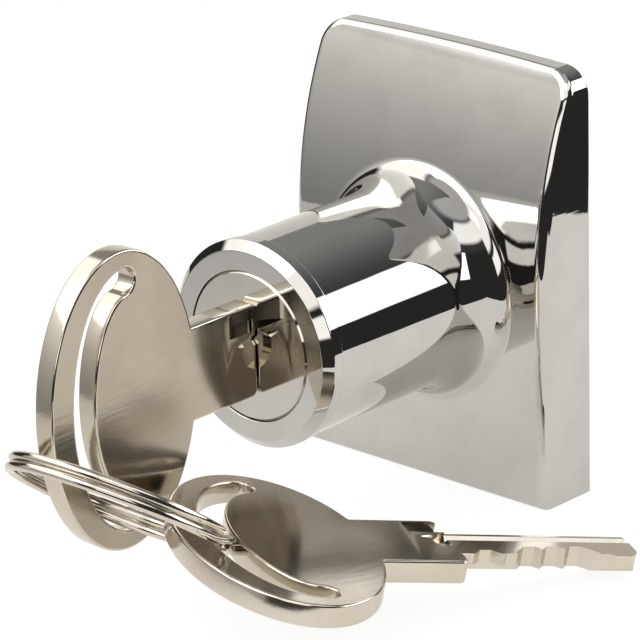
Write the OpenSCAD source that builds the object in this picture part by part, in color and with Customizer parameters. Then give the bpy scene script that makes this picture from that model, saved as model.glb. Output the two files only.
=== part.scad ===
// Cam lock for a glass cabinet door, with two keys on a split ring.
// Origin: barrel axis where it meets the back of the plate. The keys point to -Y, the cabinet is at +Y.

/* [Plate] */
// Width of the plate
plate_w = 31.4; // [28:0.2:40]
// Height of the plate above the barrel axis, at its middle
plate_above = 22.6; // [18:0.2:30]
// Height of the plate below the barrel axis
plate_below = 19.9; // [17:0.1:26]
// Thickness of the plate where its front is flat
plate_t = 7; // [6:0.1:9]
// Radius of the bulged upper front
front_arc_r = 41; // [38:1:60]
// Height above the axis where the front starts to curve back
front_flat_top = 3; // [0:0.5:6]
// Radius of the bowed top edge
top_arc_r = 100; // [60:5:300]
// Radius of the two top corners
corner_r = 3; // [1:0.5:6]
// Rounding of the front side edges
edge_r = 1; // [0.4:0.1:2]

/* [Barrel] */
// Distance from the back of the plate to the front of the barrel
barrel_len = 30.3; // [26:0.1:36]
// Diameter of the barrel's rim
rim_d = 20; // [18.6:0.1:24]
// Width of the rim behind its chamfer
rim_land = 1.1; // [0.5:0.1:3]
// Chamfer at the front of the rim
rim_chamfer = 0.85; // [0.3:0.05:1.2]
// How far the barrel's side lies under the rim
rim_step = 0.2; // [0.1:0.05:0.4]
// Radius of the fillet where the barrel meets the plate
root_r = 2.6; // [1:0.1:3]

/* [Plug] */
// Diameter of the plug's head
head_d = 14.44; // [13.6:0.02:15]
// Length of the plug's head
head_len = 1.5; // [1.2:0.1:1.6]
// Diameter of the plug's body
plug_d = 11.8; // [11.6:0.1:12.2]
// Bevel at the edge of the head
head_bevel = 0.22; // [0.1:0.02:0.4]
// Radial running clearance of the plug
run_gap = 0.05; // [0.03:0.01:0.09]
// Turn of the key from locked to open, in degrees
turn_angle = 90; // [60:5:100]

/* [Tumblers] */
// Distance from the plug's face to the first tumbler
first_tumbler = 2.7; // [2.6:0.05:3]
// Distance between tumblers
pitch = 2.35; // [2.2:0.05:2.5]
// Thickness of a tumbler
tumbler_t = 1; // [0.8:0.05:1.2]
// Width of a tumbler
tumbler_w = 6.4; // [6:0.1:6.8]
// Sliding clearance of tumblers and blade in the plug
slide_gap = 0.06; // [0.05:0.01:0.1]
// Diameter of a tumbler's spring
spring_d = 1.2; // [1:0.05:1.3]
// Wire of a tumbler's spring
spring_wire = 0.22; // [0.18:0.02:0.26]

/* [Key] */
// Thickness of the key
key_t = 2.2; // [2:0.05:2.4]
// Height of the shank between bow and blade
shank_h = 9.1; // [8:0.1:10]
// Distance from the shoulder to the middle of the bow
bow_at = 17.1; // [16.5:0.1:19]
// Length of the bow along the key
bow_len = 18.3; // [17.6:0.1:20]
// Height of the bow
bow_h = 28.4; // [27.8:0.2:32]
// Width of the crescent slot in the bow
slot_w = 2.5; // [2.3:0.05:2.8]
// Width of the rim outside the slot, at the end of the bow
rim_w = 2.85; // [2.2:0.05:3.4]
// Width of the rim outside the slot, at the sides of the bow
side_rim_w = 1.7; // [1.4:0.05:2.2]
// Length of the blade
blade_len = 17.9; // [17.6:0.1:18.4]
// Height of the blade
blade_h = 5.2; // [5:0.05:5.4]

/* [Split ring] */
// Diameter of the ring, middle of the wire
ring_d = 20.5; // [20:0.1:22]
// Wire of the ring
ring_wire = 0.9; // [0.8:0.02:1]

/* [Fixing] */
// Diameter of the thread through the glass
thread_d = 16; // [15:0.2:16.4]
// Length of the thread behind the plate
thread_len = 8.4; // [7.6:0.2:12]
// Width across the flats of the nut
nut_af = 21; // [20:0.5:24]
// Thickness of the nut
nut_t = 2.8; // [2.4:0.1:4]
// Thickness of the washer under the nut
fixing_washer_t = 0.7; // [0.5:0.1:1]
// Thickness of the rear gasket
rear_gasket_t = 0.6; // [0.4:0.1:1]
// Outer diameter of the rear gasket and washer
fixing_washer_d = 24.4; // [22:0.2:25]
// Depth of the front gasket in the plate
front_gasket_t = 0.8; // [0.6:0.1:1.2]
// Outer diameter of the front gasket
front_gasket_d = 27; // [25:0.5:29]

/* [Cam] */
// Length of the cam from the axis to its end
cam_len = 22; // [18:0.5:30]
// Width of the cam
cam_w = 10; // [8:0.5:12]
// Thickness of the cam
cam_t = 1.8; // [1.5:0.1:2.5]
// Diameter of the cam's hub
cam_hub_d = 12; // [11:0.2:14]
// Diameter of the flatted tail that carries the cam
tail_d = 8; // [7.6:0.1:8.4]
// Distance across the tail's flats
tail_flats = 5.8; // [5.4:0.1:6.2]
// Diameter of the cam screw
screw_d = 3.5; // [3:0.1:4]
// Diameter of the cam screw's head
screw_head_d = 6.8; // [6.4:0.1:7.4]
// Height of the cam screw's head
screw_head_h = 1.8; // [1.6:0.1:2.4]

/* [Hidden] */
$fn = 96;
eps = 0.01;
// Room for a cutter to pass beyond a face
over = 1;
tumblers = 6;

// Plate and barrel
face_y = -barrel_len;
rim_r = rim_d/2;
barrel_r = rim_r - rim_step;
front_axis_y = front_arc_r - plate_t;
front_sweep = 40;
flare_r = barrel_r + root_r;
flare_sink_y = -4;

// Bores
head_r = head_d/2;
plug_r = plug_d/2;
head_bore_r = head_r + run_gap;
bore_r = plug_r + run_gap;
shoulder_y = face_y + head_len + run_gap;
head_back_y = face_y + head_len;

// Stop between plug and housing
stop_pin_d = 1;
stop_pin_out = 1;
stop_pin_in = 1;
stop_r = (plug_r + head_r)/2;
stop_from = 225;
stop_gap = 0.1;
stop_floor_gap = 0.3;

// Tumbler sizes
slot_t = tumbler_t + 2*slide_gap;
tumbler_r = plug_r - slide_gap;
window_gap = 0.2;
lug_x = 4.9;
lug_t = 0.9;
lug_top = 1.9;
lug_side_gap = 0.15;
spring_x = 4.15;
spring_foot = -2.7;
spring_turns = 4;
spring_sides = 6;
spring_steps = 10;
spring_r = (spring_d - spring_wire)/2;
spring_end_gap = 0.05;
spring_side_gap = 0.08;
tumbler_travel = 1;
groove_w = tumbler_w + 0.3;
groove_r = plug_r + tumbler_travel + 0.3;
groove_from = face_y + first_tumbler - tumbler_t;
groove_to = face_y + first_tumbler + (tumblers - 1)*pitch + tumbler_t;
function tumbler_y(i) = face_y + first_tumbler + i*pitch;

// Key sizes
key_gap = 0.05;
key_y = face_y - key_gap;
bow_a = bow_len/2;
bow_b = bow_h/2;
slot_end = 86;
slot_shift = 0.9;
slot_a = bow_a - rim_w - slot_w/2 + slot_shift;
slot_b = bow_b - side_rim_w - slot_w/2;
slot_at = bow_at - slot_shift;
bow_steps = 96;
slot_steps = 60;
shoulder_r = 1;
tip_r = 1.6;
// Milled profile of the blade: a step along the top of one side, a groove, a step low on the other side
step_h = 0.75;
step_depth = 0.7;
groove_v = 0.9;
groove_half = 0.55;
groove_depth = 0.55;
back_step_h = 1.1;
back_step_depth = 0.9;
runout_len = 3.7;
runout_h = 2.1;
groove_wheel_r = 8;
keyway_depth = blade_len + 0.6;
cut_floor = 1.1;
cut_angle = 45;
cut_depths = [1, 0.3, 1.9, 2, 2.1, 0.5];

// Rear parts
thread_r = thread_d/2;
seat_gap = 0.02;
nut_r = nut_af/2/cos(30);
rear_gasket_y = seat_gap;
fixing_washer_y = rear_gasket_y + rear_gasket_t + seat_gap;
nut_y = fixing_washer_y + fixing_washer_t + seat_gap;
thread_gap = 0.05;
nut_chamfer = 0.5;
front_gasket_in = thread_d + 2;
retaining_washer_t = 0.5;
retaining_washer_d = 14;
tail_gap = 0.05;
retaining_y = thread_len + run_gap;
cam_y = retaining_y + retaining_washer_t + seat_gap;
tail_end = cam_y + cam_t - 0.2;
lock_washer_y = cam_y + cam_t + seat_gap;
lock_washer_t = 0.5;
screw_head_y = lock_washer_y + lock_washer_t + seat_gap;
screw_hole_depth = 8;
screw_len = 7;
screw_slot_w = 1;
screw_slot_depth = 0.9;

// Ring and spare key
ring_r = ring_d/2;
ring_turns = 2;
ring_steps = 60;
ring_sides = 8;
ring_rise = ring_wire*1.02;
ring_cross = 40;
// Gap between the wire's two ends, and where the wire starts, as angles round the ring
ring_gap = 8;
ring_end = 20;
// Tilt of the ring, then its turn about Z
ring_tilt = -36;
ring_turn = 3.6;
// Where each slot lies on the ring, as an angle round it
ring_at_key_1 = 129.2;
ring_at_key_2 = 50.1;
// Where the ring lies in each slot, as an angle round the bow
slot_1_angle = -73.6;
slot_2_angle = 2.7;
// How far outside the slot's middle line the ring lies in the spare key
slot_2_off = -0.63;
// How the spare key lies
spare_turn = -26.8;
spare_pitch = -10.7;
spare_roll = 3.3;

function rot_x(a, p) = [p[0], p[1]*cos(a) - p[2]*sin(a), p[1]*sin(a) + p[2]*cos(a)];
function rot_y(a, p) = [p[0]*cos(a) + p[2]*sin(a), p[1], -p[0]*sin(a) + p[2]*cos(a)];
function rot_z(a, p) = [p[0]*cos(a) - p[1]*sin(a), p[0]*sin(a) + p[1]*cos(a), p[2]];
function slot_point(a, off) = let(p = slot_line(a) + off*slot_normal(a)) [0, -p[0], p[1]];
function on_ring(a) = rot_z(ring_turn, rot_x(ring_tilt, [ring_r*cos(a), ring_r*sin(a), 0]));
function as_spare(p) = rot_z(spare_turn, rot_x(spare_pitch, rot_y(spare_roll, rot_y(-90, p))));
ring_c = [0, key_y, 0] + slot_point(slot_1_angle, 0) - on_ring(ring_at_key_1);
spare_at = ring_c + on_ring(ring_at_key_2) - as_spare(slot_point(slot_2_angle, slot_2_off));

// Turns a solid drawn along Z so that it runs along +Y
module along_y(y) { translate([0, y, 0]) rotate([-90, 0, 0]) children(); }

// A plain ring about the barrel axis
module ring_y(y, len, r_out, r_in) {
    along_y(y) difference() {
        cylinder(r = r_out, h = len);
        translate([0, 0, -over]) cylinder(r = r_in, h = len + 2*over);
    }
}

// Section of the plate: depth along X from back to front, width along Y, front edges rounded
module plate_section(back, front) {
    half = plate_w/2;
    translate([back, -half]) square([front - edge_r - back, plate_w]);
    translate([back, -half + edge_r]) square([front - back, plate_w - 2*edge_r]);
    for (s = [-1, 1]) translate([front - edge_r, s*(half - edge_r)]) circle(r = edge_r);
}

// Front outline of the plate in x and z: bowed top edge, round top corners, square bottom
module plate_outline() {
    half = plate_w/2;
    top_centre = plate_above - top_arc_r;
    corner_z = top_centre + sqrt(pow(top_arc_r - corner_r, 2) - pow(half - corner_r, 2));
    intersection() {
        translate([-half, -plate_below]) square([plate_w, plate_below + plate_above]);
        translate([0, top_centre]) circle(r = top_arc_r, $fn = 360);
        union() {
            translate([-half, -plate_below]) square([plate_w, plate_below + corner_z]);
            translate([-half + corner_r, 0]) square([plate_w - 2*corner_r, plate_above]);
            for (s = [-1, 1]) translate([s*(half - corner_r), corner_z]) circle(r = corner_r);
        }
    }
}

module plate() {
    intersection() {
        union() {
            translate([0, 0, -plate_below]) linear_extrude(plate_below + front_flat_top)
                rotate(-90) plate_section(0, plate_t);
            // The bulged upper front turns about an axis behind the plate
            translate([0, front_axis_y, front_flat_top]) rotate([-90, 0, 0]) rotate([0, 90, 0])
                rotate([0, 0, -front_sweep]) rotate_extrude(angle = front_sweep, $fn = 180)
                    plate_section(front_axis_y - over, front_arc_r);
        }
        rotate([90, 0, 0]) linear_extrude(plate_t + over) plate_outline();
    }
}

// Half section of the barrel: radius along X, distance from the back of the plate along Y
module barrel_section() {
    polygon([[0, -flare_sink_y], [0, barrel_len], [rim_r - rim_chamfer, barrel_len],
             [rim_r, barrel_len - rim_chamfer], [rim_r, barrel_len - rim_chamfer - rim_land],
             [barrel_r, barrel_len - rim_chamfer - rim_land - rim_step], [barrel_r, -flare_sink_y]]);
    difference() {
        translate([0, -flare_sink_y]) square([flare_r, plate_t + root_r + flare_sink_y]);
        translate([flare_r, plate_t + root_r]) circle(r = root_r);
    }
}

module housing() {
    color("silver") difference() {
        union() {
            plate();
            rotate([90, 0, 0]) rotate_extrude() barrel_section();
            along_y(-over) cylinder(r = thread_r, h = over + thread_len);
        }
        along_y(face_y - over) cylinder(r = head_bore_r, h = over + head_len + run_gap);
        along_y(face_y) cylinder(r = bore_r, h = barrel_len + thread_len + over);
        // Grooves that the tumblers lock into: a pair for each end of the key's turn
        for (turn = [0, turn_angle]) rotate([0, -turn, 0])
            translate([-groove_w/2, groove_from, -groove_r]) cube([groove_w, groove_to - groove_from, 2*groove_r]);
        stop_groove();
        ring_y(-front_gasket_t, front_gasket_t + over, front_gasket_d/2, front_gasket_in/2);
    }
}

// Arc in the bore's shoulder where the stop pin travels
module stop_groove() {
    half = asin((stop_pin_d/2 + stop_gap)/stop_r);
    along_y(shoulder_y - eps) rotate([0, 0, -(stop_from + turn_angle + half)])
        rotate_extrude(angle = turn_angle + 2*half)
            translate([bore_r - eps, 0]) square([stop_r + stop_pin_d/2 + stop_gap - bore_r, stop_pin_out + stop_floor_gap]);
}

// Section of the blade in x and z; g is how far every face moves outward
function blade_points(g) = let(h = key_t/2, b = blade_h/2) [
    [-h + back_step_depth - g, -b - g], [h + g, -b - g],
    [h + g, groove_v - groove_half + g], [h - groove_depth + 2*g, groove_v],
    [h + g, groove_v + groove_half - g], [h + g, b - step_h + g],
    [h - step_depth + g, b - step_h + g], [h - step_depth + g, b + g],
    [-h - g, b + g], [-h - g, -b + back_step_h - g],
    [-h + back_step_depth - g, -b + back_step_h - g]];

module blade_bar(g, from, to) {
    translate([0, to, 0]) rotate([90, 0, 0]) linear_extrude(to - from) polygon(blade_points(g));
}

module plug() {
    color("gainsboro") difference() {
        union() {
            along_y(face_y) rotate_extrude() polygon([[0, 0], [head_r - head_bevel, 0],
                [head_r, head_bevel], [head_r, head_len], [0, head_len]]);
            along_y(face_y) cylinder(r = plug_r, h = barrel_len + thread_len);
            intersection() {
                along_y(0) cylinder(r = tail_d/2, h = tail_end);
                translate([-tail_flats/2, 0, -tail_d]) cube([tail_flats, tail_end, 2*tail_d]);
            }
        }
        translate([0, key_y, 0]) blade_bar(slide_gap, -over, keyway_depth);
        for (i = [0:tumblers - 1]) tumbler_cut(i);
        along_y(head_back_y - stop_pin_in) rotate([0, 0, -stop_from]) translate([stop_r, 0, 0])
            cylinder(r = stop_pin_d/2, h = stop_pin_in + eps);
        along_y(tail_end - screw_hole_depth) cylinder(r = screw_d/2, h = screw_hole_depth + over);
    }
}

// Slot, lug slot and spring pocket of one tumbler
module tumbler_cut(i) {
    w = tumbler_w + 2*slide_gap;
    translate([-w/2, tumbler_y(i) - slot_t/2, -plug_d]) cube([w, slot_t, 2*plug_d]);
    translate([0, tumbler_y(i) - slot_t/2, lug_top - lug_t - spring_end_gap])
        cube([lug_x + lug_side_gap, slot_t, lug_t + tumbler_travel + 2*spring_end_gap]);
    translate([spring_x, tumbler_y(i), spring_foot])
        cylinder(r = spring_d/2 + spring_side_gap, h = lug_top - lug_t - spring_foot, $fn = 32);
}

module tumbler(i) {
    window_x = key_t/2 + window_gap;
    color("goldenrod") difference() {
        union() {
            intersection() {
                translate([-tumbler_w/2, tumbler_y(i) - tumbler_t/2, -plug_d]) cube([tumbler_w, tumbler_t, 2*plug_d]);
                along_y(face_y) cylinder(r = tumbler_r, h = barrel_len);
            }
            translate([0, tumbler_y(i) - tumbler_t/2, lug_top - lug_t]) cube([lug_x, tumbler_t, lug_t]);
        }
        translate([-window_x, tumbler_y(i) - tumbler_t, -blade_h/2 - window_gap - tumbler_travel])
            cube([2*window_x, 2*tumbler_t, blade_h + 2*window_gap + tumbler_travel]);
    }
}

// One point of a tube's skin: centre c, outward o, up u, radius r, angle a
function skin(c, o, u, r, a) = c + r*(cos(a)*o + sin(a)*u);

// Faces of a tube with n rings of m points, both ends closed
function tube_faces(n, m) = concat(
    [[for (j = [0:m - 1]) j]],
    [for (i = [0:n - 2]) for (j = [0:m - 1])
        [i*m + j, (i + 1)*m + j, (i + 1)*m + (j + 1)%m, i*m + (j + 1)%m]],
    [[for (j = [m - 1:-1:0]) (n - 1)*m + j]]);

// Coil spring along +Z: first and last turns lie flat
module coil_spring(r, wire, len, turns, steps, sides) {
    n = turns*steps + 1;
    function rise(k) = (len - wire)*min(1, max(0, (k/steps - 0.75)/(turns - 1.5))) + wire/2;
    polyhedron([for (k = [0:n - 1]) for (j = [0:sides - 1])
        let(a = 360*k/steps, o = [cos(a), sin(a), 0])
        skin(r*o + [0, 0, rise(k)], o, [0, 0, 1], wire/2, -360*j/sides)], tube_faces(n, sides));
}

module tumbler_spring(i) {
    color("dimgray") translate([spring_x, tumbler_y(i), spring_foot + spring_end_gap])
        coil_spring(spring_r, spring_wire, lug_top - lug_t - spring_foot - 2*spring_end_gap,
                    spring_turns, spring_steps, spring_sides);
}

module stop_pin() {
    color("dimgray") along_y(head_back_y - stop_pin_in) rotate([0, 0, -stop_from])
        translate([stop_r, 0, 0]) cylinder(r = stop_pin_d/2, h = stop_pin_in + stop_pin_out);
}

// Hole that fits over the plug's flatted tail
module tail_hole(y, len) {
    intersection() {
        along_y(y - over) cylinder(r = tail_d/2 + tail_gap, h = len + 2*over);
        translate([-tail_flats/2 - tail_gap, y - over, -tail_d])
            cube([tail_flats + 2*tail_gap, len + 2*over, 2*tail_d]);
    }
}

module retaining_washer() {
    color("darkgray") difference() {
        along_y(retaining_y) cylinder(r = retaining_washer_d/2, h = retaining_washer_t);
        tail_hole(retaining_y, retaining_washer_t);
    }
}

// Latch arm: points to -X when locked
module cam() {
    end_x = -cam_len + cam_w/2;
    color("lightgray") difference() {
        union() {
            along_y(cam_y) cylinder(r = cam_hub_d/2, h = cam_t);
            translate([end_x, cam_y, -cam_w/2]) cube([-end_x, cam_t, cam_w]);
            translate([end_x, 0, 0]) along_y(cam_y) cylinder(r = cam_w/2, h = cam_t);
        }
        tail_hole(cam_y, cam_t);
    }
}

module lock_washer() {
    color("dimgray") ring_y(lock_washer_y, lock_washer_t, screw_head_d/2, screw_d/2 + tail_gap);
}

module cam_screw() {
    color("silver") difference() {
        union() {
            along_y(screw_head_y - screw_len) cylinder(r = screw_d/2, h = screw_len + eps);
            along_y(screw_head_y) rotate_extrude() intersection() {
                square([screw_head_d/2, screw_head_h]);
                translate([0, screw_head_h - screw_head_d]) circle(r = screw_head_d);
            }
        }
        translate([-screw_head_d, screw_head_y + screw_head_h - screw_slot_depth, -screw_slot_w/2])
            cube([2*screw_head_d, screw_slot_depth + over, screw_slot_w]);
    }
}

module front_gasket() {
    color("dimgray") ring_y(-front_gasket_t + seat_gap, front_gasket_t - seat_gap,
        front_gasket_d/2 - thread_gap, front_gasket_in/2 + thread_gap);
}

module rear_gasket() {
    color("dimgray") ring_y(rear_gasket_y, rear_gasket_t, fixing_washer_d/2, thread_r + thread_gap);
}

module fixing_washer() {
    color("silver") ring_y(fixing_washer_y, fixing_washer_t, fixing_washer_d/2, thread_r + thread_gap);
}

// Hexagon nut with chamfered corners, flats up and down the sides
module fixing_nut() {
    color("silver") difference() {
        intersection() {
            along_y(nut_y) rotate([0, 0, 90]) cylinder(r = nut_r, h = nut_t, $fn = 6);
            along_y(nut_y) rotate_extrude() polygon([[0, 0], [nut_r - nut_chamfer, 0], [nut_r, nut_chamfer/2],
                [nut_r, nut_t - nut_chamfer/2], [nut_r - nut_chamfer, nut_t], [0, nut_t]]);
        }
        along_y(nut_y - over) cylinder(r = thread_r + thread_gap, h = nut_t + 2*over);
    }
}

// Middle line of the crescent slot, as [distance from shoulder, height]
function slot_line(a) = [slot_at + slot_a*cos(a), slot_b*sin(a)];
function slot_normal(a) = let(v = [slot_b*cos(a), slot_a*sin(a)]) v/norm(v);

module crescent_slot() {
    angles = [for (k = [0:slot_steps]) -slot_end + 2*slot_end*k/slot_steps];
    polygon(concat([for (a = angles) slot_line(a) + slot_w/2*slot_normal(a)],
                   [for (k = [slot_steps:-1:0]) slot_line(angles[k]) - slot_w/2*slot_normal(angles[k])]));
    for (a = [-slot_end, slot_end]) translate(slot_line(a)) circle(r = slot_w/2, $fn = 32);
}

// Outline of bow and shank, as distance from the shoulder along X and height along Y
module handle_outline() {
    difference() {
        union() {
            polygon([for (k = [0:bow_steps - 1]) let(a = 360*k/bow_steps)
                [bow_at + bow_a*cos(a), bow_b*sin(a)]]);
            translate([shoulder_r, -shank_h/2]) square([bow_at - bow_a, shank_h]);
            translate([0, -shank_h/2 + shoulder_r]) square([bow_at - bow_a, shank_h - 2*shoulder_r]);
            for (s = [-1, 1]) translate([shoulder_r, s*(shank_h/2 - shoulder_r)]) circle(r = shoulder_r, $fn = 32);
        }
        crescent_slot();
    }
}

// Outline of the blade, as distance from the shoulder along X and height along Y
module blade_outline() {
    b = blade_h/2;
    difference() {
        union() {
            translate([-shoulder_r, -b]) square([blade_len - tip_r + shoulder_r, blade_h]);
            translate([0, -b + tip_r]) square([blade_len, blade_h - 2*tip_r]);
            for (s = [-1, 1]) translate([blade_len - tip_r, s*(b - tip_r)]) circle(r = tip_r, $fn = 32);
        }
        for (i = [0:tumblers - 1]) bitting_cut(first_tumbler - key_gap + i*pitch, cut_depths[i]);
    }
}

// One cut of the key: a flat with sloped sides
module bitting_cut(at, depth) {
    low = -blade_h/2 - over;
    top = -blade_h/2 + depth;
    side = (depth + over)/tan(cut_angle);
    polygon([[at - cut_floor/2 - side, low], [at + cut_floor/2 + side, low],
             [at + cut_floor/2, top], [at - cut_floor/2, top]]);
}

// A key with its shoulder at y = 0, its blade along +Y and its bow along -Y, cuts facing down
module key() {
    h = key_t/2;
    b = blade_h/2;
    difference() {
        translate([-h, 0, 0]) rotate([90, 0, 90]) linear_extrude(key_t) mirror([1, 0]) handle_outline();
        // Where the milling cutters run out into the shank
        translate([h - step_depth, -runout_len, b - step_h]) cube([key_t, runout_len + over, runout_h]);
        translate([-h - over, -runout_len, -b + back_step_h - runout_h])
            cube([over + back_step_depth, runout_len + over, runout_h]);
        translate([h - groove_depth + groove_wheel_r, 0, groove_v]) rotate_extrude()
            polygon([[0, -groove_half*groove_wheel_r/groove_depth], [groove_wheel_r, 0],
                     [0, groove_half*groove_wheel_r/groove_depth]]);
    }
    intersection() {
        blade_bar(0, -shoulder_r, blade_len);
        translate([-h, 0, 0]) rotate([90, 0, 90]) linear_extrude(key_t) blade_outline();
    }
}

module key_1() { color("darkkhaki") translate([0, key_y, 0]) key(); }

module key_2() {
    color("darkkhaki") translate(spare_at) rotate([0, 0, spare_turn]) rotate([spare_pitch, 0, 0])
        rotate([0, spare_roll, 0]) rotate([0, -90, 0]) key();
}

// Two turns of wire, one on the other, that change level over a short stretch
module split_ring() {
    n = ring_turns*ring_steps + 1;
    function level(a) = a < 360 - ring_cross/2 ? -0.5
        : a > 360 + ring_cross/2 ? 0.5
        : -0.5*cos(180*(a - 360 + ring_cross/2)/ring_cross);
    color("lightgray") translate(ring_c) rotate([0, 0, ring_turn]) rotate([ring_tilt, 0, 0])
        polyhedron([for (k = [0:n - 1]) for (j = [0:ring_sides - 1])
            let(a = (360*ring_turns - ring_gap)*k/(n - 1), o = [cos(a + ring_end), sin(a + ring_end), 0])
            skin(ring_r*o + [0, 0, ring_rise*level(a)], o, [0, 0, 1], ring_wire/2, -360*(j + 0.5)/ring_sides)],
            tube_faces(n, ring_sides));
}

housing();
plug();
tumbler(0);  // tumbler_1
tumbler(1);  // tumbler_2
tumbler(2);  // tumbler_3
tumbler(3);  // tumbler_4
tumbler(4);  // tumbler_5
tumbler(5);  // tumbler_6
tumbler_spring(0);  // tumbler_spring_1
tumbler_spring(1);  // tumbler_spring_2
tumbler_spring(2);  // tumbler_spring_3
tumbler_spring(3);  // tumbler_spring_4
tumbler_spring(4);  // tumbler_spring_5
tumbler_spring(5);  // tumbler_spring_6
stop_pin();
retaining_washer();
cam();
lock_washer();
cam_screw();
front_gasket();
rear_gasket();
fixing_washer();
fixing_nut();
key_1();
key_2();
split_ring();
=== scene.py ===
"""Cam lock for a glass cabinet door, with two flat keys on a split ring.

The object stands on white paper in a small studio. Sizes are in millimetres until a mesh is made,
and the frame is the lock's own: the barrel runs along Y, its keys point to -Y, and Z is up.
"""

import bmesh
import bpy
import numpy as np
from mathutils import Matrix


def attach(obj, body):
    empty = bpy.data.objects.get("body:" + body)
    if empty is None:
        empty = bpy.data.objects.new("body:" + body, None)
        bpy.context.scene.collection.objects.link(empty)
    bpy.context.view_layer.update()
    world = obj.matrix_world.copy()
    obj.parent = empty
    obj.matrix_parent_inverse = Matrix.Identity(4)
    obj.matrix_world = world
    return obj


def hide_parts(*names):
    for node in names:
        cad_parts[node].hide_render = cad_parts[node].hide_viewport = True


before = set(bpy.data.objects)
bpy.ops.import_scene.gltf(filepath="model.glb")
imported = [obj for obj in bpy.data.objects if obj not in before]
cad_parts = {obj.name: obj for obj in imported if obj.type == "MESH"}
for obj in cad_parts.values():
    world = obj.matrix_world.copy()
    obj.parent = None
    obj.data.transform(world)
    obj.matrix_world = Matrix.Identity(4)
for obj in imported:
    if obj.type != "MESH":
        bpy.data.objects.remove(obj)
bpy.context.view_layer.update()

# ---------------------------------------------------------------- camera
# A long lens looks from the left front of the door, a little above the lock.
CAM_AZIMUTH, CAM_HEIGHT, CAM_ROLL = 0.751, 0.353, -0.025
CAM_DISTANCE, CAM_RIGHT, CAM_UP = 439.26, -13.93, -5.744
LENS = 256.0

MM = 0.001
toward = np.array([np.sin(CAM_AZIMUTH) * np.cos(CAM_HEIGHT),
                   -np.cos(CAM_AZIMUTH) * np.cos(CAM_HEIGHT), np.sin(CAM_HEIGHT)])
level_right = np.array([np.cos(CAM_AZIMUTH), np.sin(CAM_AZIMUTH), 0.0])
level_up = np.cross(toward, level_right)
cam_right = np.cos(CAM_ROLL) * level_right + np.sin(CAM_ROLL) * level_up
cam_up = np.cos(CAM_ROLL) * level_up - np.sin(CAM_ROLL) * level_right
camera = bpy.data.objects.new("camera", bpy.data.cameras.new("camera"))
camera.data.lens = LENS
pose = np.eye(4)
pose[:3, 0], pose[:3, 1], pose[:3, 2] = cam_right, cam_up, toward
pose[:3, 3] = (toward * CAM_DISTANCE + cam_right * CAM_RIGHT + cam_up * CAM_UP) * MM
camera.matrix_world = pose.T
bpy.context.scene.collection.objects.link(camera)
bpy.context.scene.camera = camera
bpy.context.scene.view_settings.view_transform = "Standard"


# ---------------------------------------------------------------- shader wiring
class Wire:
    """One output of a node. Python's operators on wires add Math nodes."""

    def __init__(self, board, socket):
        self.board, self.socket = board, socket

    def _math(self, operation, *values):
        return self.board.add("Math", {"operation": operation}, dict(enumerate(values)))

    def __add__(self, other): return self._math("ADD", self, other)
    def __radd__(self, other): return self._math("ADD", other, self)
    def __sub__(self, other): return self._math("SUBTRACT", self, other)
    def __rsub__(self, other): return self._math("SUBTRACT", other, self)
    def __mul__(self, other): return self._math("MULTIPLY", self, other)
    def __rmul__(self, other): return self._math("MULTIPLY", other, self)
    def __truediv__(self, other): return self._math("DIVIDE", self, other)
    def __pow__(self, other): return self._math("POWER", self, other)
    def __abs__(self): return self._math("ABSOLUTE", self)


class Board:
    """One node tree. add() makes any node: its type, its settings, then its sockets."""

    def __init__(self, tree):
        self.tree = tree
        tree.nodes.clear()

    def add(self, kind, settings=None, sockets=None, out=0):
        node = self.tree.nodes.new("ShaderNode" + kind)
        for name, value in (settings or {}).items():
            if name == "stops":
                elements = node.color_ramp.elements
                while len(elements) < len(value):
                    elements.new(1)
                for element, (place, colour) in zip(elements, value):
                    element.position, element.color = place, (*colour, 1)
            else:
                setattr(node, name, value)
        for name, value in (sockets or {}).items():
            socket = node.inputs[name]
            if isinstance(value, Wire):
                self.tree.links.new(value.socket, socket)
            elif socket.type == "RGBA":
                socket.default_value = (*value, 1)
            else:
                socket.default_value = value
        return Wire(self, node.outputs[out]) if len(node.outputs) else node

    def ease(self, value, low, high):
        """0 below low, 1 above high, an S curve between them."""
        return self.add("MapRange", {"interpolation_type": "SMOOTHSTEP"},
                        {"Value": value, "From Min": low, "From Max": high})

    def line(self, value, low, high, to_low, to_high):
        """A straight ramp from to_low to to_high, held outside low and high."""
        return self.add("MapRange", None, {"Value": value, "From Min": low, "From Max": high,
                                           "To Min": to_low, "To Max": to_high})

    def within(self, value, low, high, soft):
        """1 between low and high, with soft edges."""
        return self.ease(value, low - soft, low + soft) * (1 - self.ease(value, high - soft, high + soft))


# ---------------------------------------------------------------- studio
# White paper lies under the lock, runs toward the camera and sweeps up behind it. Softboxes, a dim
# ceiling and dark sides are what the chrome reflects. Angles are in degrees; "side" turns from the
# camera, 0, to its right, 90, and "height" is above the horizon. Each box is named after its place.
PAPER_LEFT, PAPER_RIGHT, PAPER_FRONT, PAPER_BACK = 97.0, 103.0, 71.0, 170.0
PAPER_Z = -19.92
DIM_SIDE, OVERHEAD = 0.032, 0.62
RIGHT_BOX, LEFT_BOX, REAR_BOX, HIGH_BOX, CAMERA_LAMP, FRONT_BOX = 3.4, 4.0, 1.7, 1.5, 2.6, 1.6
PLAIN_LIGHT = 0.85

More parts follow.
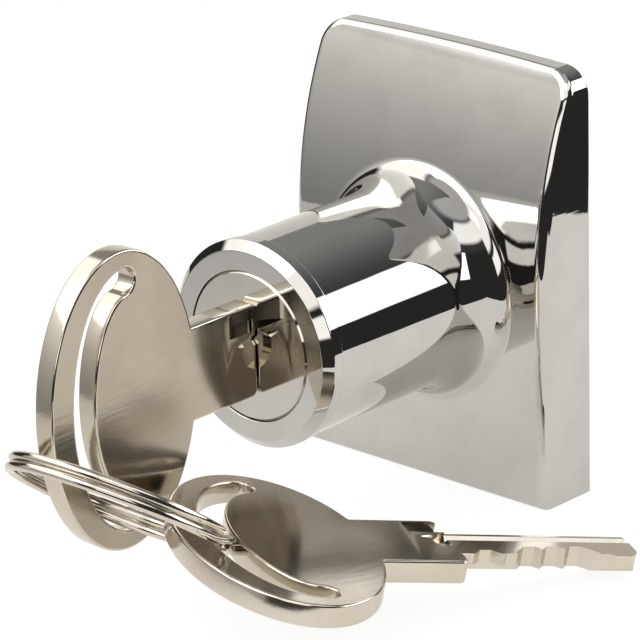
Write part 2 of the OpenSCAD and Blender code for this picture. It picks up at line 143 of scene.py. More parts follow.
world = bpy.data.worlds.new("studio")
bpy.context.scene.world = world
world.use_nodes = True
w = Board(world.node_tree)
ray_dir = w.add("TexCoord")
away = w.add("VectorMath", {"operation": "NORMALIZE"}, {0: ray_dir})
flat_front = np.array([toward[0], toward[1], 0]) / np.hypot(toward[0], toward[1])
ahead = w.add("VectorMath", {"operation": "DOT_PRODUCT"}, {0: away, 1: tuple(flat_front)}, "Value")
aside = w.add("VectorMath", {"operation": "DOT_PRODUCT"}, {0: away, 1: tuple(level_right)}, "Value")
rise = w.add("SeparateXYZ", None, {0: away}, "Z")
DEG = 57.2958
side = w.add("Math", {"operation": "ARCTAN2"}, {0: aside, 1: ahead}) * DEG
height = w.add("Math", {"operation": "ARCSINE"}, {0: rise}) * DEG


def over(under, value, mask):
    """value where mask is 1, under where it is 0."""
    return under * (1 - mask) + value * mask


back = abs(side)
left_back = ahead * np.cos(np.radians(150)) + aside * np.sin(np.radians(-150))
ceiling = 0.06 + 0.26 * w.ease(left_back, -0.35, 0.55)
glow = DIM_SIDE + 0 * rise
glow = over(glow, ceiling, w.ease(height, 31, 35))
glow = over(glow, OVERHEAD, w.ease(height, 62, 68))
glow = over(glow, ceiling, w.ease(back, 150, 156) * w.ease(height, -2, 2))
behind = w.ease(0 - side, 156, 159) + w.ease(side, 148, 158)
glow = over(glow, w.line(height, -16, 22, 0.92, 0.76), behind * (1 - w.ease(height, 23.5, 25)))
climb = w.line(height, -16, 23, 0, 1)
left_grade = 0.28 + 0.30 * climb + 0.42 * climb * climb
glow = over(glow, left_grade, w.within(side, -122, -50, 4) * (1 - w.ease(height, 23, 27)))
glow = over(glow, LEFT_BOX, w.within(side, -112, -30, 2.5) * w.within(height, 26, 65, 2.5))
glow = over(glow, REAR_BOX, w.within(side, -158, -108, 2.5) * w.within(height, 24, 60, 2.5))
glow = over(glow, RIGHT_BOX, w.within(side, 72, 132, 1.2) * w.within(height, 9, 33, 0.8))
glow = over(glow, HIGH_BOX, w.within(side, -38, 18, 2.5) * w.within(height, 27, 66, 2.5))
glow = over(glow, HIGH_BOX, w.within(side, 14, 86, 2.5) * w.within(height, 42, 62, 2.5))
glow = over(glow, FRONT_BOX, w.within(side, -30, 10, 1.5) * w.within(height, 3, 20, 1.5))
glow = over(glow, CAMERA_LAMP, w.within(side, -16, 6, 2) * w.within(height, 49, 62, 2))
tint = w.add("Mix", {"data_type": "RGBA"}, {"Factor": w.ease(side, 60, 72) * (1 - w.ease(side, 132, 144)),
                                            "A": (1.03, 1.0, 0.945), "B": (0.99, 1.0, 1.01)}, "Result")
path = w.add("LightPath")
glossy = Wire(w, path.socket.node.outputs["Is Glossy Ray"])
seen = Wire(w, path.socket.node.outputs["Is Camera Ray"])
room = w.add("Background", None, {"Color": tint, "Strength": glow})
plain = w.add("Background", None, {"Color": (1, 1, 1), "Strength": PLAIN_LIGHT})
white = w.add("Background", None, {"Color": (1, 1, 1), "Strength": 1.0})
lit = w.add("MixShader", None, {0: glossy, 1: plain, 2: room})
w.add("OutputWorld", None, {0: w.add("MixShader", None, {0: seen, 1: lit, 2: white})})

lamp = bpy.data.objects.new("window", bpy.data.lights.new("window", "SUN"))
lamp.data.energy = 0.5
lamp.data.angle = 0.7
lamp.rotation_euler = (0.55, -0.35, 0.0)
lamp.visible_glossy = False
bpy.context.scene.collection.objects.link(lamp)


def woven(name, grid, wrap_rows=False, wrap_columns=False, ends=False):
    """Mesh from a grid of points, shaped (rows, columns, 3) in millimetres. Four neighbours make a
    face, wrap joins the last row or column to the first, and ends closes the two end rows."""
    rows, columns = grid.shape[:2]
    index = np.arange(rows * columns).reshape(rows, columns)
    if wrap_rows:
        index = np.vstack([index, index[:1]])
    if wrap_columns:
        index = np.hstack([index, index[:, :1]])
    quads = np.stack([index[:-1, :-1], index[:-1, 1:], index[1:, 1:], index[1:, :-1]], -1).reshape(-1, 4)
    faces = quads.tolist()
    if ends:
        faces += [index[0, :columns].tolist(), index[-1, :columns][::-1].tolist()]
    mesh = bpy.data.meshes.new(name)
    mesh.from_pydata((grid.reshape(-1, 3) * MM).tolist(), [], faces)
    return outward(mesh)


def outward(mesh):
    """Turns a closed mesh's faces to point out: its signed volume is then positive."""
    bm = bmesh.new()
    bm.from_mesh(mesh)
    if bm.calc_volume(signed=True) < 0:
        bmesh.ops.reverse_faces(bm, faces=bm.faces)
    bm.to_mesh(mesh)
    bm.free()
    return mesh


def piece(name, mesh, *materials, sharp=30):
    """A new object with that mesh and materials; edges sharper than so many degrees stay crisp."""
    mesh.polygons.foreach_set("use_smooth", np.ones(len(mesh.polygons), bool))
    mesh.set_sharp_from_angle(angle=np.radians(sharp))
    for material in materials:
        mesh.materials.append(material)
    made = bpy.data.objects.new(name, mesh)
    bpy.context.scene.collection.objects.link(made)
    return made


paper_mat = bpy.data.materials.new("paper")
paper_mat.use_nodes = True
p = Board(paper_mat.node_tree)
spot = p.add("TexCoord", out="Object")
fibre = p.add("TexNoise", None, {"Vector": spot, "Scale": 900.0, "Detail": 2.0})
toward_left = p.add("VectorMath", {"operation": "DOT_PRODUCT"}, {0: spot, 1: tuple(-level_right)}, "Value")
painted_shade_left = p.ease(toward_left, 0.02, 0.11)


def lit_paper(tone, near, far, strength):
    """Paper that scatters light and glows a little, so that shadows on it stay light. To the far left its colour goes
    from near to far: painted shade that dims the paper there."""
    colour = p.add("Mix", {"data_type": "RGBA"}, {"Factor": painted_shade_left, "A": near, "B": far}, "Result")
    grain = p.add("ValToRGB", {"stops": [(0, (tone,) * 3), (1, (1.06 * tone,) * 3)]}, {0: fibre})
    shade = p.add("Mix", {"data_type": "RGBA", "blend_type": "MULTIPLY"}, {"Factor": 1.0, "A": grain, "B": colour},
                  "Result")
    return p.add("AddShader", None, {0: p.add("BsdfDiffuse", None, {"Color": shade}),
                                     1: p.add("Emission", None, {"Color": colour, "Strength": strength})})


# The camera sees the sheet evenly white. Other rays see a warm copy that darkens to the far left with painted shade.
to_camera = Wire(p, p.add("LightPath").socket.node.outputs["Is Camera Ray"])
p.add("OutputMaterial", None, {0: p.add("MixShader", None, {
    0: to_camera, 1: lit_paper(0.45, (1.0, 0.97, 0.92), (0.66, 0.63, 0.60), 0.58),
    2: lit_paper(0.22, (1, 1, 1), (1, 1, 1), 0.87)})})
reach = np.linspace(-PAPER_BACK, PAPER_FRONT, 12)
across = np.linspace(-PAPER_LEFT, PAPER_RIGHT, 4)
sheet_centre = np.array([0.0, -15.0, PAPER_Z])
paper = bpy.data.meshes.new("paper")
spots = (sheet_centre + reach[:, None, None] * flat_front + across[None, :, None] * level_right) * MM
grid_index = np.arange(48).reshape(12, 4)
paper.from_pydata(spots.reshape(-1, 3).tolist(), [],
                  np.stack([grid_index[:-1, :-1], grid_index[:-1, 1:], grid_index[1:, 1:], grid_index[1:, :-1]],
                           -1).reshape(-1, 4)[:, ::-1].tolist())
piece("paper", paper, paper_mat)

# ---------------------------------------------------------------- chrome
# Bright chrome over a polished zinc casting: a mirror with a faint orange peel and fine wipe marks.
CHROME = (0.575, 0.57, 0.56)


def polished(name, colour, rough, peel, scratch, grain=(1, 1, 1)):
    """Mirror metal. Slow noise makes the peel, long thin noise makes wipe marks in the roughness."""
    material = bpy.data.materials.new(name)
    material.use_nodes = True
    b = Board(material.node_tree)
    place = b.add("TexCoord", out="Object")
    waves = b.add("TexNoise", None, {"Vector": place, "Scale": 170.0, "Detail": 1.5})
    drawn = b.add("Mapping", None, {"Vector": place, "Scale": grain})
    wipes = b.add("TexNoise", None, {"Vector": drawn, "Scale": 2600.0, "Detail": 3.0})
    smudge = b.add("TexNoise", None, {"Vector": place, "Scale": 240.0, "Detail": 4.0})
    shade = b.add("Mix", {"data_type": "RGBA"}, {"Factor": b.ease(smudge, 0.35, 0.75), "A": colour,
                                                 "B": tuple(0.93 * c for c in colour)}, "Result")
    bump = b.add("Bump", None, {"Strength": peel, "Distance": 0.0004, "Height": waves})
    fine = b.add("Bump", None, {"Strength": scratch, "Distance": 0.00002, "Height": wipes, "Normal": bump})
    b.add("OutputMaterial", None, {0: b.add("BsdfPrincipled", None, {
        "Base Color": shade, "Metallic": 1.0, "Normal": fine,
        "Roughness": rough + rough * b.ease(wipes, 0.5, 0.75) + rough * b.ease(smudge, 0.5, 0.8)})})
    return material


chrome = polished("chrome", CHROME, 0.018, 0.012, 0.05, (1, 0.05, 1))


# ---------------------------------------------------------------- housing
# One zinc casting: a plate that is flat below and bulges back above, with a round barrel growing out
# of it through a fillet. Its rear has a thread for the nut, and a groove for the soft ring.
HALF_W, ABOVE, BELOW, DEPTH = 15.7, 22.6, 19.9, 7.0
FLAT_TOP, FRONT_R, TOP_R, CORNER_R = 3.0, 41.0, 380.0, 2.7
EDGE, TOP_EDGE, BOTTOM_EDGE, BACK_EDGE = 1.0, 0.35, 0.35, 0.25
RIM_Y, RIM_R, BARREL_R, FLARE_Y, ROOT_R = -30.3, 10.0, 9.8, -12.2, 12.0
BORE_R, HEAD_BORE_R, SEAT_Y = 5.95, 7.27, -28.75
LOCK_HALF_W, LOCK_REACH, LOCK_FRONT, LOCK_BACK = 3.35, 7.2, -28.6, -14.85
STOP_OUT_R, STOP_HALF_TURN, STOP_BACK = 7.16, 50.2, -27.45
GROOVE_OUT, GROOVE_IN, GROOVE_DEEP = 13.5, 9.0, 0.8


def plate_front(z):
    """How far forward the plate's face lies at height z: flat, then an arc that leans back."""
    bulge = np.sqrt(FRONT_R ** 2 - np.clip(z - FLAT_TOP, 0, None) ** 2)
    return FRONT_R - DEPTH - bulge


def on_line(axis, value, start, end, count):
    """Points of the line x or z = value, at even steps of the angle seen from the barrel's axis."""
    angle = np.linspace(np.arctan2(start[1], start[0]), np.arctan2(end[1], end[0]), count, endpoint=False)
    ray = np.stack([np.cos(angle), np.sin(angle)], -1)
    return ray * (value / ray[:, axis:axis + 1])


def on_arc(centre, radius, start, end, count):
    """Points of a circle's arc, angles in degrees."""
    angle = np.radians(np.linspace(start, end, count, endpoint=False))
    return np.array(centre) + radius * np.stack([np.cos(angle), np.sin(angle)], -1)


def plate_ring(inset, top_inset, bottom_inset):
    """The plate's outline moved inward: two sides, bowed top, two round top corners, square bottom."""
    half, low = HALF_W - inset, -BELOW + bottom_inset
    change = CORNER_R - np.linspace(inset, top_inset, 18, endpoint=False)[:, None]
    top_centre = ABOVE - TOP_R
    cx = HALF_W - CORNER_R
    cz = top_centre + np.sqrt((TOP_R - CORNER_R) ** 2 - cx ** 2)
    lean = np.degrees(np.arctan2(cz - top_centre, cx))
    return np.concatenate([
        on_line(0, half, (half, low), (half, cz), 150),
        on_arc((cx, cz), change, 0, lean, 18),
        on_arc((0, top_centre), TOP_R - top_inset, lean, 180 - lean, 120),
        on_arc((-cx, cz), change[::-1], 180 - lean, 180, 18),
        on_line(0, -half, (-half, cz), (-half, 1e-12), 75),
        on_line(0, -half, (-half, -1e-12), (-half, low), 75),
        on_line(1, low, (-half, low), (half, low), 120)])


def softened(points, radii, steps=4, hold=0.02):
    """A profile with its corners rounded. Each arc has a held point a little before and after it, so
    that flat stretches keep their own normal."""
    points = [np.array(q, float) for q in points]
    out = [points[0]]
    for before, corner, after, radius in zip(points, points[1:], points[2:], radii):
        a, b = before - corner, after - corner
        a, b = a / np.linalg.norm(a), b / np.linalg.norm(b)
        half = np.arccos(np.clip(a @ b, -1, 1)) / 2
        reach = radius / np.tan(half)
        middle = corner + (a + b) / np.linalg.norm(a + b) * radius / np.sin(half)
        first, last = corner + a * reach - middle, corner + b * reach - middle
        out.append(corner + a * (reach + hold))
        for t in np.linspace(0, 1, steps + 1):
            spoke = first * (1 - t) + last * t
            out.append(middle + spoke / np.linalg.norm(spoke) * radius)
        out.append(corner + b * (reach + hold))
    return np.array(out + [points[-1]])


outer = plate_ring(0, 0, 0)
turn = np.arctan2(outer[:, 1], outer[:, 0])
# How far back the front edge's rounding reaches: little along the top, more at the sides and below.
edge_reach = np.full(len(outer), EDGE)
edge_reach[150:306] = np.interp(np.arange(156), [0, 18, 138, 156], [EDGE, TOP_EDGE, TOP_EDGE, EDGE])


def circle_row(radius, y):
    """One ring about the barrel's axis, on the same rays as the plate's outline."""
    return np.stack([radius * np.cos(turn), np.broadcast_to(y, turn.shape), radius * np.sin(turn)], -1)


# Inside the bore, two pairs of flat-bottomed grooves take the tumblers, and a quarter groove the stop pin.
level_part, upright_part = np.abs(np.cos(turn)), np.abs(np.sin(turn))
lock_r = np.maximum(BORE_R, np.maximum(np.minimum(LOCK_HALF_W / level_part, LOCK_REACH / upright_part),
                                       np.minimum(LOCK_HALF_W / upright_part, LOCK_REACH / level_part)))
stop_r = np.where(np.abs(np.degrees(turn) + 90) < STOP_HALF_TURN, STOP_OUT_R, BORE_R)
rows = [circle_row(r, y) for r, y in [
    (BORE_R, 0), (BORE_R, LOCK_BACK), (lock_r, LOCK_BACK - 0.01), (lock_r, STOP_BACK + 0.01),
    (np.maximum(lock_r, stop_r), STOP_BACK), (np.maximum(lock_r, stop_r), LOCK_FRONT + 0.01),
    (stop_r, LOCK_FRONT), (stop_r, SEAT_Y + 0.01)]]
rows += [circle_row(r, y) for r, y in softened(
    [(7.17, SEAT_Y), (HEAD_BORE_R, SEAT_Y), (HEAD_BORE_R, RIM_Y), (9.15, RIM_Y),
     (RIM_R, -29.45), (RIM_R, -28.35), (BARREL_R, -28.15), (BARREL_R, -12)],
    [0.05, 0.06, 0.12, 0.16, 0.06, 0.05])[:-1]]
# The barrel flares toward the plate in a quarter of an ellipse, which ends on the plate's face.
floor_y = plate_front(ROOT_R * np.sin(turn))
for lift in np.radians([0, 1, *np.linspace(6, 90, 15)]):
    rows.append(circle_row(ROOT_R - (ROOT_R - BARREL_R) * np.cos(lift), FLARE_Y + (floor_y - FLARE_Y) * np.sin(lift)))
near, far = circle_row(ROOT_R, 0), plate_ring(EDGE, TOP_EDGE, BOTTOM_EDGE)
for share in [0.004, *np.linspace(0.04, 0.96, 26), 0.99, 1]:
    flat = near[:, [0, 2]] * (1 - share) + far * share
    rows.append(np.stack([flat[:, 0], plate_front(flat[:, 1]), flat[:, 1]], -1))
for tip in np.radians(np.linspace(0, 90, 9)[1:]):
    flat = plate_ring(*(np.array([EDGE, TOP_EDGE, BOTTOM_EDGE]) * (1 - np.sin(tip))))
    rows.append(np.stack([flat[:, 0], plate_front(flat[:, 1]) + edge_reach * (1 - np.cos(tip)), flat[:, 1]], -1))
for share in (0.01, 0.5, 0.985, 1):
    front_y = plate_front(outer[:, 1]) + edge_reach
    rows.append(np.stack([outer[:, 0], front_y * (1 - share) - BACK_EDGE * share, outer[:, 1]], -1))
for tip in np.radians([30, 60, 90]):
    inset = BACK_EDGE * (1 - np.cos(tip))
    flat = plate_ring(inset, inset, inset)
    rows.append(np.stack([flat[:, 0], np.full(len(flat), -BACK_EDGE * (1 - np.sin(tip))), flat[:, 1]], -1))
rows += [circle_row(r, y) for r, y in [
    (GROOVE_OUT, 0), (GROOVE_OUT, -GROOVE_DEEP), (GROOVE_IN, -GROOVE_DEEP), (GROOVE_IN, 0)]]
housing = piece("housing_shell", woven("housing_shell", np.array(rows), True, True), chrome)
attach(housing, "housing")

# The rear thread is rolled into the same casting: a one-start thread with a one millimetre pitch.
THREAD_R, THREAD_LEN, THREAD_PITCH, THREAD_DEEP = 8.0, 8.4, 1.0, 0.45


def thread_tube(name, radius, start, length, thread_pitch, deep, bore, facets=96, per_pitch=8):
    """Closed tube whose outside radius falls by deep, in a triangle wave that climbs one pitch a turn."""
    angle = np.linspace(0, 2 * np.pi, facets, endpoint=False)
    y = np.linspace(0, length, int(length / thread_pitch * per_pitch) + 1)[:, None]
    wave = np.abs(2 * ((y / thread_pitch - angle / (2 * np.pi)) % 1) - 1)
    fade = np.clip(np.minimum(y, length - y) / 0.5, 0, 1)
    r = radius - deep * (1 - wave * fade)
    outside = np.stack([r * np.cos(angle), np.broadcast_to(start + y, r.shape), r * np.sin(angle)], -1)
    ends = [np.stack([bore * np.cos(angle), np.full(facets, start + at), bore * np.sin(angle)], -1)
            for at in (length, 0)]
    return woven(name, np.concatenate([outside, ends]), True, True)


thread = piece("housing_thread", thread_tube("housing_thread", THREAD_R, -0.4, THREAD_LEN + 0.4, THREAD_PITCH,
                                             THREAD_DEEP, BORE_R), chrome, sharp=40)
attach(thread, "housing")
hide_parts("housing")
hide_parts("housing")

# ---------------------------------------------------------------- plug and the parts it carries
# The plug is turned from brass and nickel plated, with a flat polished face. The tumblers are stamped
# brass, their springs drawn steel wire, and the parts on its tail are zinc plated steel.
nickel_face = polished("nickel_face", (0.60, 0.585, 0.555), 0.03, 0.008, 0.08, (1, 1, 0.1))


def repaint(node, material):
    """Puts the material in the CAD node's own slots."""
    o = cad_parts[node]
    if not o.material_slots:
        o.data.materials.append(material)
    for one in o.material_slots:
        one.material = material


def worked_metal(name, colour, other, rough, grain, scale, relief):
    """Metal with rolling or turning marks: drawn noise varies colour, roughness and height."""
    material = bpy.data.materials.new(name)
    material.use_nodes = True
    b = Board(material.node_tree)
    place = b.add("TexCoord", out="Object")
    drawn = b.add("Mapping", None, {"Vector": place, "Scale": grain})
    marks = b.add("TexNoise", None, {"Vector": drawn, "Scale": scale, "Detail": 4.0, "Roughness": 0.6})
    cloud = b.add("TexNoise", None, {"Vector": place, "Scale": 160.0, "Detail": 3.0})
    shade = b.add("Mix", {"data_type": "RGBA"}, {"Factor": 0.6 * b.ease(cloud, 0.3, 0.7) + 0.4 * marks,
                                                 "A": colour, "B": other}, "Result")
    bump = b.add("Bump", None, {"Strength": relief, "Distance": 0.00004, "Height": marks})
    b.add("OutputMaterial", None, {0: b.add("BsdfPrincipled", None, {
        "Base Color": shade, "Metallic": 1.0, "Normal": bump,
        "Roughness": rough * (0.75 + 0.35 * marks + 0.25 * cloud)})})
    return material


repaint("plug", nickel_face)
brass = worked_metal("stamped_brass", (0.78, 0.60, 0.30), (0.62, 0.45, 0.20), 0.32, (1, 1, 0.1), 1500.0, 0.3)
wire_steel = worked_metal("wire_steel", (0.55, 0.54, 0.52), (0.42, 0.41, 0.40), 0.25, (1, 1, 0.2), 3000.0, 0.2)
zinc = worked_metal("zinc_plate", (0.66, 0.66, 0.67), (0.52, 0.54, 0.57), 0.3, (1, 1, 1), 700.0, 0.35)
for number in range(1, 7):
    repaint("tumbler_%d" % number, brass)
    repaint("tumbler_spring_%d" % number, wire_steel)
for node in ("stop_pin", "retaining_washer", "cam", "lock_washer", "cam_screw", "fixing_washer", "fixing_nut"):
    repaint(node, zinc)

# ---------------------------------------------------------------- soft rings
# Black rubber rings keep metal off the glass on both sides.
rubber = bpy.data.materials.new("black_rubber")
rubber.use_nodes = True
g = Board(rubber.node_tree)
grit = g.add("TexNoise", None, {"Vector": g.add("TexCoord", out="Object"), "Scale": 2200.0, "Detail": 5.0})
g.add("OutputMaterial", None, {0: g.add("BsdfPrincipled", None, {
    "Base Color": g.add("Mix", {"data_type": "RGBA"}, {"Factor": grit, "A": (0.012, 0.012, 0.012),
                                                       "B": (0.045, 0.043, 0.04)}, "Result"),
    "Roughness": 0.55 + 0.3 * grit,
    "Normal": g.add("Bump", None, {"Strength": 0.5, "Distance": 0.00005, "Height": grit})})})
repaint("front_gasket", rubber)
repaint("rear_gasket", rubber)

# ---------------------------------------------------------------- keys
# Both keys are punched from 2.2 mm nickel silver, with tumbled round edges, a crescent slot for the
# ring, and a milled blade. The cutters leave their run-out in the shank.
KEY_HALF, KEY_EDGE = 1.1, 0.24
SHANK_HALF, SHOULDER_R, BOW_AT, BOW_A, BOW_B = 4.55, 0.75, 17.1, 9.15, 14.2
SLOT_AT, SLOT_A, SLOT_B, SLOT_HALF, SLOT_END = 16.2, 5.95, 11.25, 1.25, 86
BLADE_LEN, BLADE_HALF, TIP_R = 17.9, 2.6, 1.6
KEY_Y = -30.35
BLADE_LOWER, LAND_DEEP, LAND_AT, GROOVE_CUT, GROOVE_AT = 0.12, 0.7, 1.88, 0.5, 0.95
REAR_STEP_AT, REAR_STEP_DEEP = -1.5, 0.9
# The milling wheels' radii and depths. They stand off from the blade's own steps a little, so that
# no two cutters share a plane.
UPPER_WHEEL_R, GROOVE_WHEEL_R, REAR_WHEEL_R = 7.6, 8.0, 6.0
UPPER_WHEEL_DEEP, REAR_WHEEL_DEEP, STAND_OFF = 0.9, 0.84, 0.05
RECESS_R, RECESS_DEEP = 1.86, 0.53
CUTS, FIRST_CUT, CUT_PITCH, CUT_FLOOR = (1, 0.3, 1.9, 2, 2.1, 0.5), 2.65, 2.35, 1.1

bright_edge = worked_metal("tumbled_nickel_silver", (0.70, 0.655, 0.57), (0.60, 0.555, 0.475), 0.13, (1, 0.12, 1),
                           1900.0, 0.15)
dull_flat = worked_metal("rolled_nickel_silver", (0.50, 0.45, 0.37), (0.42, 0.375, 0.305), 0.14, (1, 0.12, 1), 1900.0,
                         0.15)
# The milled floors' near-black colour is painted shade in the run-outs and the round recess.
milled_floor_in_painted_shade = worked_metal("milled_nickel_silver_in_painted_shade", (0.13, 0.115, 0.095), (0.09, 0.08, 0.065), 0.22, (1, 1, 0.12),
                            1900.0, 0.25)


def handle_loop():
    """Bow and shank as one loop of (distance from the shoulder, height): an ellipse whose narrow end
    runs into a bar with two round corners."""
    meet = np.degrees(np.arcsin(SHANK_HALF / BOW_B))
    arc = on_arc((0, 0), 1, meet - 180, 180 - meet, 260) * (BOW_A, BOW_B) + (BOW_AT, 0)
    join = BOW_AT - BOW_A * np.cos(np.radians(meet))
    bar = [np.stack([np.linspace(join, SHOULDER_R, 12, endpoint=False), np.full(12, SHANK_HALF)], -1),
           on_arc((SHOULDER_R, SHANK_HALF - SHOULDER_R), SHOULDER_R, 90, 180, 10),
           np.stack([np.zeros(12), np.linspace(SHANK_HALF - SHOULDER_R, SHOULDER_R - SHANK_HALF, 12,
                                               endpoint=False)], -1),
           on_arc((SHOULDER_R, SHOULDER_R - SHANK_HALF), SHOULDER_R, 180, 270, 10),
           np.stack([np.linspace(SHOULDER_R, join, 12, endpoint=False), np.full(12, -SHANK_HALF)], -1)]
    return np.concatenate([arc, *bar])


def slot_loop():
    """The crescent slot: a line of even width bent along an ellipse, with round ends."""
    angle = np.radians(np.linspace(-SLOT_END, SLOT_END, 100))
    line = np.stack([SLOT_AT + SLOT_A * np.cos(angle), SLOT_B * np.sin(angle)], -1)
    normal = np.stack([SLOT_B * np.cos(angle), SLOT_A * np.sin(angle)], -1)
    normal /= np.linalg.norm(normal, axis=1)[:, None]
    tilt = np.degrees(np.arctan2(normal[-1, 1], normal[-1, 0]))
    top = on_arc(line[-1], SLOT_HALF, tilt, tilt + 180, 16)[1:]
    low = on_arc(line[0], SLOT_HALF, 180 - tilt, 360 - tilt, 16)[1:]
    return np.concatenate([line + SLOT_HALF * normal, top, (line - SLOT_HALF * normal)[::-1], low])


def moved_in(loop, distance):
    """A closed loop moved to its left by a distance: along the normal of its neighbours' chord."""
    chord = np.roll(loop, -1, 0) - np.roll(loop, 1, 0)
    chord /= np.linalg.norm(chord, axis=1)[:, None]
    return loop + distance * np.stack([-chord[:, 1], chord[:, 0]], -1)


def punched(name, outer_loop, hole_loop, half, edge):
    """A flat plate with rounded edges: each loop's wall is a grid, and flat faces fill both sides.
    Local axes: thickness along X, the loops' distance along -Y, their height along Z."""
    bm = bmesh.new()
    rims = {1: [], -1: []}
    tips = np.radians(np.linspace(0, 90, 6))
    across = np.concatenate([half - edge + edge * np.sin(tips), [half]])
    inward = np.concatenate([edge * (1 - np.cos(tips)), [edge + 0.02]])
    for loop, sense in ((outer_loop, 1), (hole_loop, -1)):
        wall = [(moved_in(loop, sense * d), x) for d, x in zip(inward[::-1], -across[::-1])]
        wall += [(moved_in(loop, sense * d), x) for d, x in zip(inward, across)]
        grid = [[bm.verts.new((x * MM, -q[0] * MM, q[1] * MM)) for q in ring] for ring, x in wall]
        for lower, upper in zip(grid, grid[1:]):
            for i in range(len(lower)):
                bm.faces.new((lower[i - 1], lower[i], upper[i], upper[i - 1]))
        rims[-1].append(grid[0])
        rims[1].append(grid[-1])
    for rings in rims.values():
        border = [bm.edges.get((ring[i - 1], ring[i])) for ring in rings for i in range(len(ring))]
        bmesh.ops.triangle_fill(bm, use_beauty=True, use_dissolve=False, edges=border)
    bmesh.ops.recalc_face_normals(bm, faces=bm.faces)
    mesh = bpy.data.meshes.new(name)
    bm.to_mesh(mesh)
    bm.free()
    return outward(mesh)


def prism(name, outline, low, high, axis):
    """A straight prism with that outline, from low to high along X (axis 0) or Y (axis 1)."""
    outline = np.array(outline, float)
    ends = []
    for at in (low, high):
        column = np.full(len(outline), at)
        ends.append(np.stack([column, outline[:, 0], outline[:, 1]] if axis == 0
                             else [outline[:, 0], column, outline[:, 1]], -1))
    return woven(name, np.array(ends), False, True, True)


def carved(mesh, tool, operation):
    """The mesh joined with, cut by or kept inside another closed mesh."""
    body = bpy.data.objects.new("body", mesh)
    cutter = bpy.data.objects.new("cutter", tool)
    for o in (body, cutter):
        bpy.context.scene.collection.objects.link(o)
    change = body.modifiers.new("change", "BOOLEAN")
    change.operation, change.object, change.solver = operation, cutter, "EXACT"
    ready = body.evaluated_get(bpy.context.evaluated_depsgraph_get())
    result = bpy.data.meshes.new_from_object(ready)
    for o in (body, cutter):
        bpy.data.objects.remove(o)
    return result


def key_mesh(name):
    """A key with its shoulder at y = 0, its blade along +Y, its bow along -Y and its cuts facing down."""
    h, b, face = KEY_HALF, BLADE_HALF, KEY_HALF - BLADE_LOWER
    mesh = punched(name, handle_loop(), slot_loop(), h, KEY_EDGE)
    # The milling wheels stop above the shoulder, so each leaves a run-out as long as its depth asks.
    for tool in (wheel_cut("upper_wheel", h - UPPER_WHEEL_DEEP, UPPER_WHEEL_R,
                           [(LAND_AT + STAND_OFF, UPPER_WHEEL_R), (4.1, UPPER_WHEEL_R)]),
                 wheel_cut("groove_wheel", h - GROOVE_CUT, GROOVE_WHEEL_R,
                           [(GROOVE_AT - GROOVE_WHEEL_R, 0.02), (GROOVE_AT, GROOVE_WHEEL_R),
                            (GROOVE_AT + GROOVE_WHEEL_R, 0.02)]),
                 wheel_cut("rear_wheel", REAR_WHEEL_DEEP - h, -REAR_WHEEL_R,
                           [(-3.6, REAR_WHEEL_R), (REAR_STEP_AT - STAND_OFF, REAR_WHEEL_R)]),
                 prism("round_recess", on_arc((0, 0), RECESS_R, 2, 362, 48), h - RECESS_DEEP, h + 2, 0)):
        mesh = carved(mesh, tool, "DIFFERENCE")
    section = softened([(0, -b), (face, -b), (face, GROOVE_AT - GROOVE_CUT), (face - GROOVE_CUT, GROOVE_AT),
                        (face, GROOVE_AT + GROOVE_CUT), (face, LAND_AT), (face - LAND_DEEP, LAND_AT),
                        (face - LAND_DEEP, b), (-face, b), (-face, REAR_STEP_AT),
                        (REAR_STEP_DEEP - h, REAR_STEP_AT), (REAR_STEP_DEEP - h, -b), (0, -b)],
                       [0.15, 0.06, 0.05, 0.06, 0.12, 0.05, 0.15, 0.15, 0.12, 0.05, 0.15], 3)[:-1]
    bar = prism("bar", section, -0.3, BLADE_LEN + 1, 1)
    tip = on_arc((BLADE_LEN - TIP_R, -b + TIP_R), TIP_R, -90, 1, 10).tolist() \
        + on_arc((BLADE_LEN - TIP_R, b - TIP_R), TIP_R, 0, 91, 10).tolist()
    outline = [(-1, b + 1), (-1, -b - 1), *bitting_edge(-b - 0.4), (tip[0][0], -b - 0.4), *tip, (tip[-1][0], b + 1)]
    blade = carved(bar, prism("outline", outline, -3, 3, 0), "INTERSECT")
    return carved(mesh, blade, "UNION")


def wheel_cut(name, floor, radius, profile):
    """A milling wheel over the shoulder, turning about the key's height. Its rim profile is a list of
    (height, radius), and it reaches down to x = floor, from the side that radius has the sign of."""
    angle = np.linspace(0, 2 * np.pi, 128, endpoint=False)
    ring = np.stack([np.cos(angle), np.sin(angle)], -1)
    grid = np.array([[(floor + radius + r * c, r * s, z) for c, s in ring] for z, r in profile])
    return woven(name, grid, False, True, True)


def bitting_edge(low):
    """The blade's lower edge: a flat floor for each cut, 45 degree flanks that meet between cuts, and
    the line z = low where nothing is cut."""
    out, previous = [], None
    for number, deep in enumerate(CUTS):
        middle, floor = FIRST_CUT + number * CUT_PITCH, deep - BLADE_HALF
        left, right = middle - CUT_FLOOR / 2, middle + CUT_FLOOR / 2
        if previous is None:
            out.append((left - (floor - low), low))
        else:
            peak = (previous[1] + floor - (left - previous[0])) / 2
            out.append((previous[0] + previous[1] - peak, peak))
        out += [(left, floor), (right, floor)]
        previous = right, floor
    return out + [(previous[0] + previous[1] - low, low)]


def turned(degrees, axis):
    """Rotation matrix about X (0), Y (1) or Z (2)."""
    c, s = np.cos(np.radians(degrees)), np.sin(np.radians(degrees))
    i, j = (axis + 1) % 3, (axis + 2) % 3
    m = np.eye(3)
    m[i, i], m[i, j], m[j, i], m[j, j] = c, -s, s, c
    return m


def placed(mesh, matrix, shift):
    """A copy of the mesh, turned and then moved by millimetres."""
    copy = mesh.copy()
    points = np.empty(len(copy.vertices) * 3)
    copy.vertices.foreach_get("co", points)
    points = points.reshape(-1, 3) @ matrix.T + np.array(shift) * MM
    copy.vertices.foreach_set("co", points.ravel())
    copy.update()
    return copy


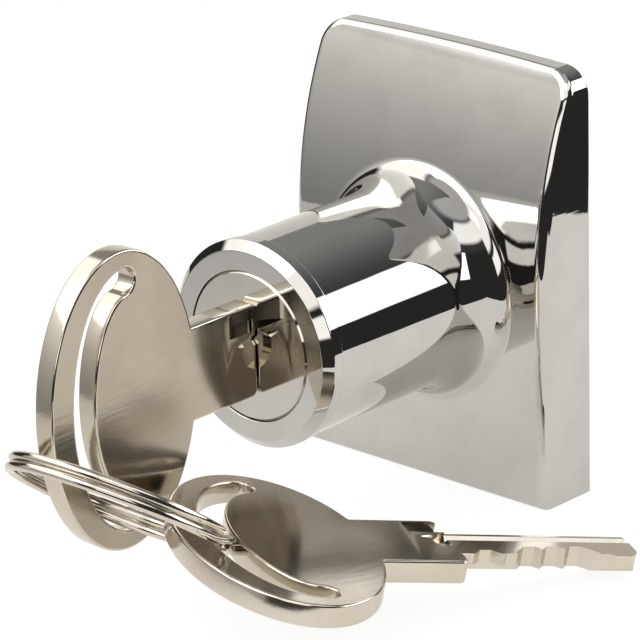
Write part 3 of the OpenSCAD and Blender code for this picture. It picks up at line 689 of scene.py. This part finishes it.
# Where the ring and the spare key hang.
RING_R, RING_TILT, RING_TURN = 10.25, -36.0, 3.6
AT_KEY_1, AT_KEY_2, SLOT_1, SLOT_2, SLOT_2_OFF = 129.2, 50.1, -73.6, 2.7, -0.63
SPARE_TURN, SPARE_PITCH, SPARE_ROLL = -26.8, -10.7, 3.3
ring_m = turned(RING_TURN, 2) @ turned(RING_TILT, 0)
spare_m = turned(SPARE_TURN, 2) @ turned(SPARE_PITCH, 0) @ turned(SPARE_ROLL, 1) @ turned(-90, 1)


def slot_point(angle, off):
    """A point of the slot's middle line, off millimetres outside it, in the key's own axes."""
    a = np.radians(angle)
    normal = np.array([SLOT_B * np.cos(a), SLOT_A * np.sin(a)])
    q = np.array([SLOT_AT + SLOT_A * np.cos(a), SLOT_B * np.sin(a)]) + off * normal / np.linalg.norm(normal)
    return np.array([0, -q[0], q[1]])


def on_ring(angle):
    """A point of the ring's middle circle, from the ring's centre."""
    a = np.radians(angle)
    return ring_m @ np.array([RING_R * np.cos(a), RING_R * np.sin(a), 0])


ring_c = np.array([0, KEY_Y, 0]) + slot_point(SLOT_1, 0) - on_ring(AT_KEY_1)
spare_at = ring_c + on_ring(AT_KEY_2) - spare_m @ slot_point(SLOT_2, SLOT_2_OFF)
blank = key_mesh("key")
# Flats keep the dull rolled skin, the milled floors over the shoulder are painted dark as shade in their recesses,
# and the rest is tumbled.
FLAT_NORMAL, FLOOR_NORMAL, FLOORS_FROM = 0.99, 0.85, -5.0
for face in blank.polygons:
    out, along = abs(face.center.x) / MM, face.center.y / MM
    face.material_index = int(abs(face.normal.x) > FLAT_NORMAL and out > KEY_HALF - 0.15)
    if face.normal.x > FLOOR_NORMAL and out < KEY_HALF - 0.2 and FLOORS_FROM < along < 0:
        face.material_index = 2
first_key = piece("key_in_lock", placed(blank, np.eye(3), (0, KEY_Y, 0)), bright_edge, dull_flat, milled_floor_in_painted_shade)
spare_key = piece("key_spare", placed(blank, spare_m, spare_at), bright_edge, dull_flat, milled_floor_in_painted_shade)
for made, node in ((first_key, "key_1"), (spare_key, "key_2")):
    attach(made, node)
    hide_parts(node)

# ---------------------------------------------------------------- split ring
# Hard drawn wire wound in two turns that lie on each other, nickel plated, its ends cut and rounded.
WIRE_R, TURNS_DEG, RING_START, CROSS, RING_RISE = 0.455, 712.0, 20.0, 40.0, 0.925
ring_nickel = polished("ring_nickel", (0.68, 0.635, 0.56), 0.10, 0.01, 0.12)


def wound(name, sides=20, steps=420):
    """A round wire along two turns of a circle; over CROSS degrees it climbs from the first turn to
    the second, and it narrows to a dome at each end."""
    angle = np.linspace(0, TURNS_DEG, steps)
    climb = np.clip((angle - 360 + CROSS / 2) / CROSS, 0, 1)
    level = -0.5 * np.cos(np.pi * climb) * RING_RISE
    dome = np.clip(np.minimum(angle, TURNS_DEG - angle) * np.pi / 180 * RING_R / WIRE_R, 0, 1)
    thick = WIRE_R * np.sqrt(np.clip(1 - (1 - dome) ** 2, 1e-4, 1))
    a = np.radians(angle + RING_START)
    out = np.stack([np.cos(a), np.sin(a), 0 * a], -1)
    t = np.linspace(0, 2 * np.pi, sides, endpoint=False)
    spoke = out[:, None] * np.cos(t)[None, :, None] + np.array([0, 0, 1]) * np.sin(t)[None, :, None]
    middle = out * RING_R + level[:, None] * np.array([0, 0, 1])
    tube = middle[:, None] + thick[:, None, None] * spoke
    return woven(name, tube @ ring_m.T + ring_c, False, True, True)


ring = piece("ring_wire", wound("ring_wire"), ring_nickel, sharp=50)
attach(ring, "split_ring")
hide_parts("split_ring")
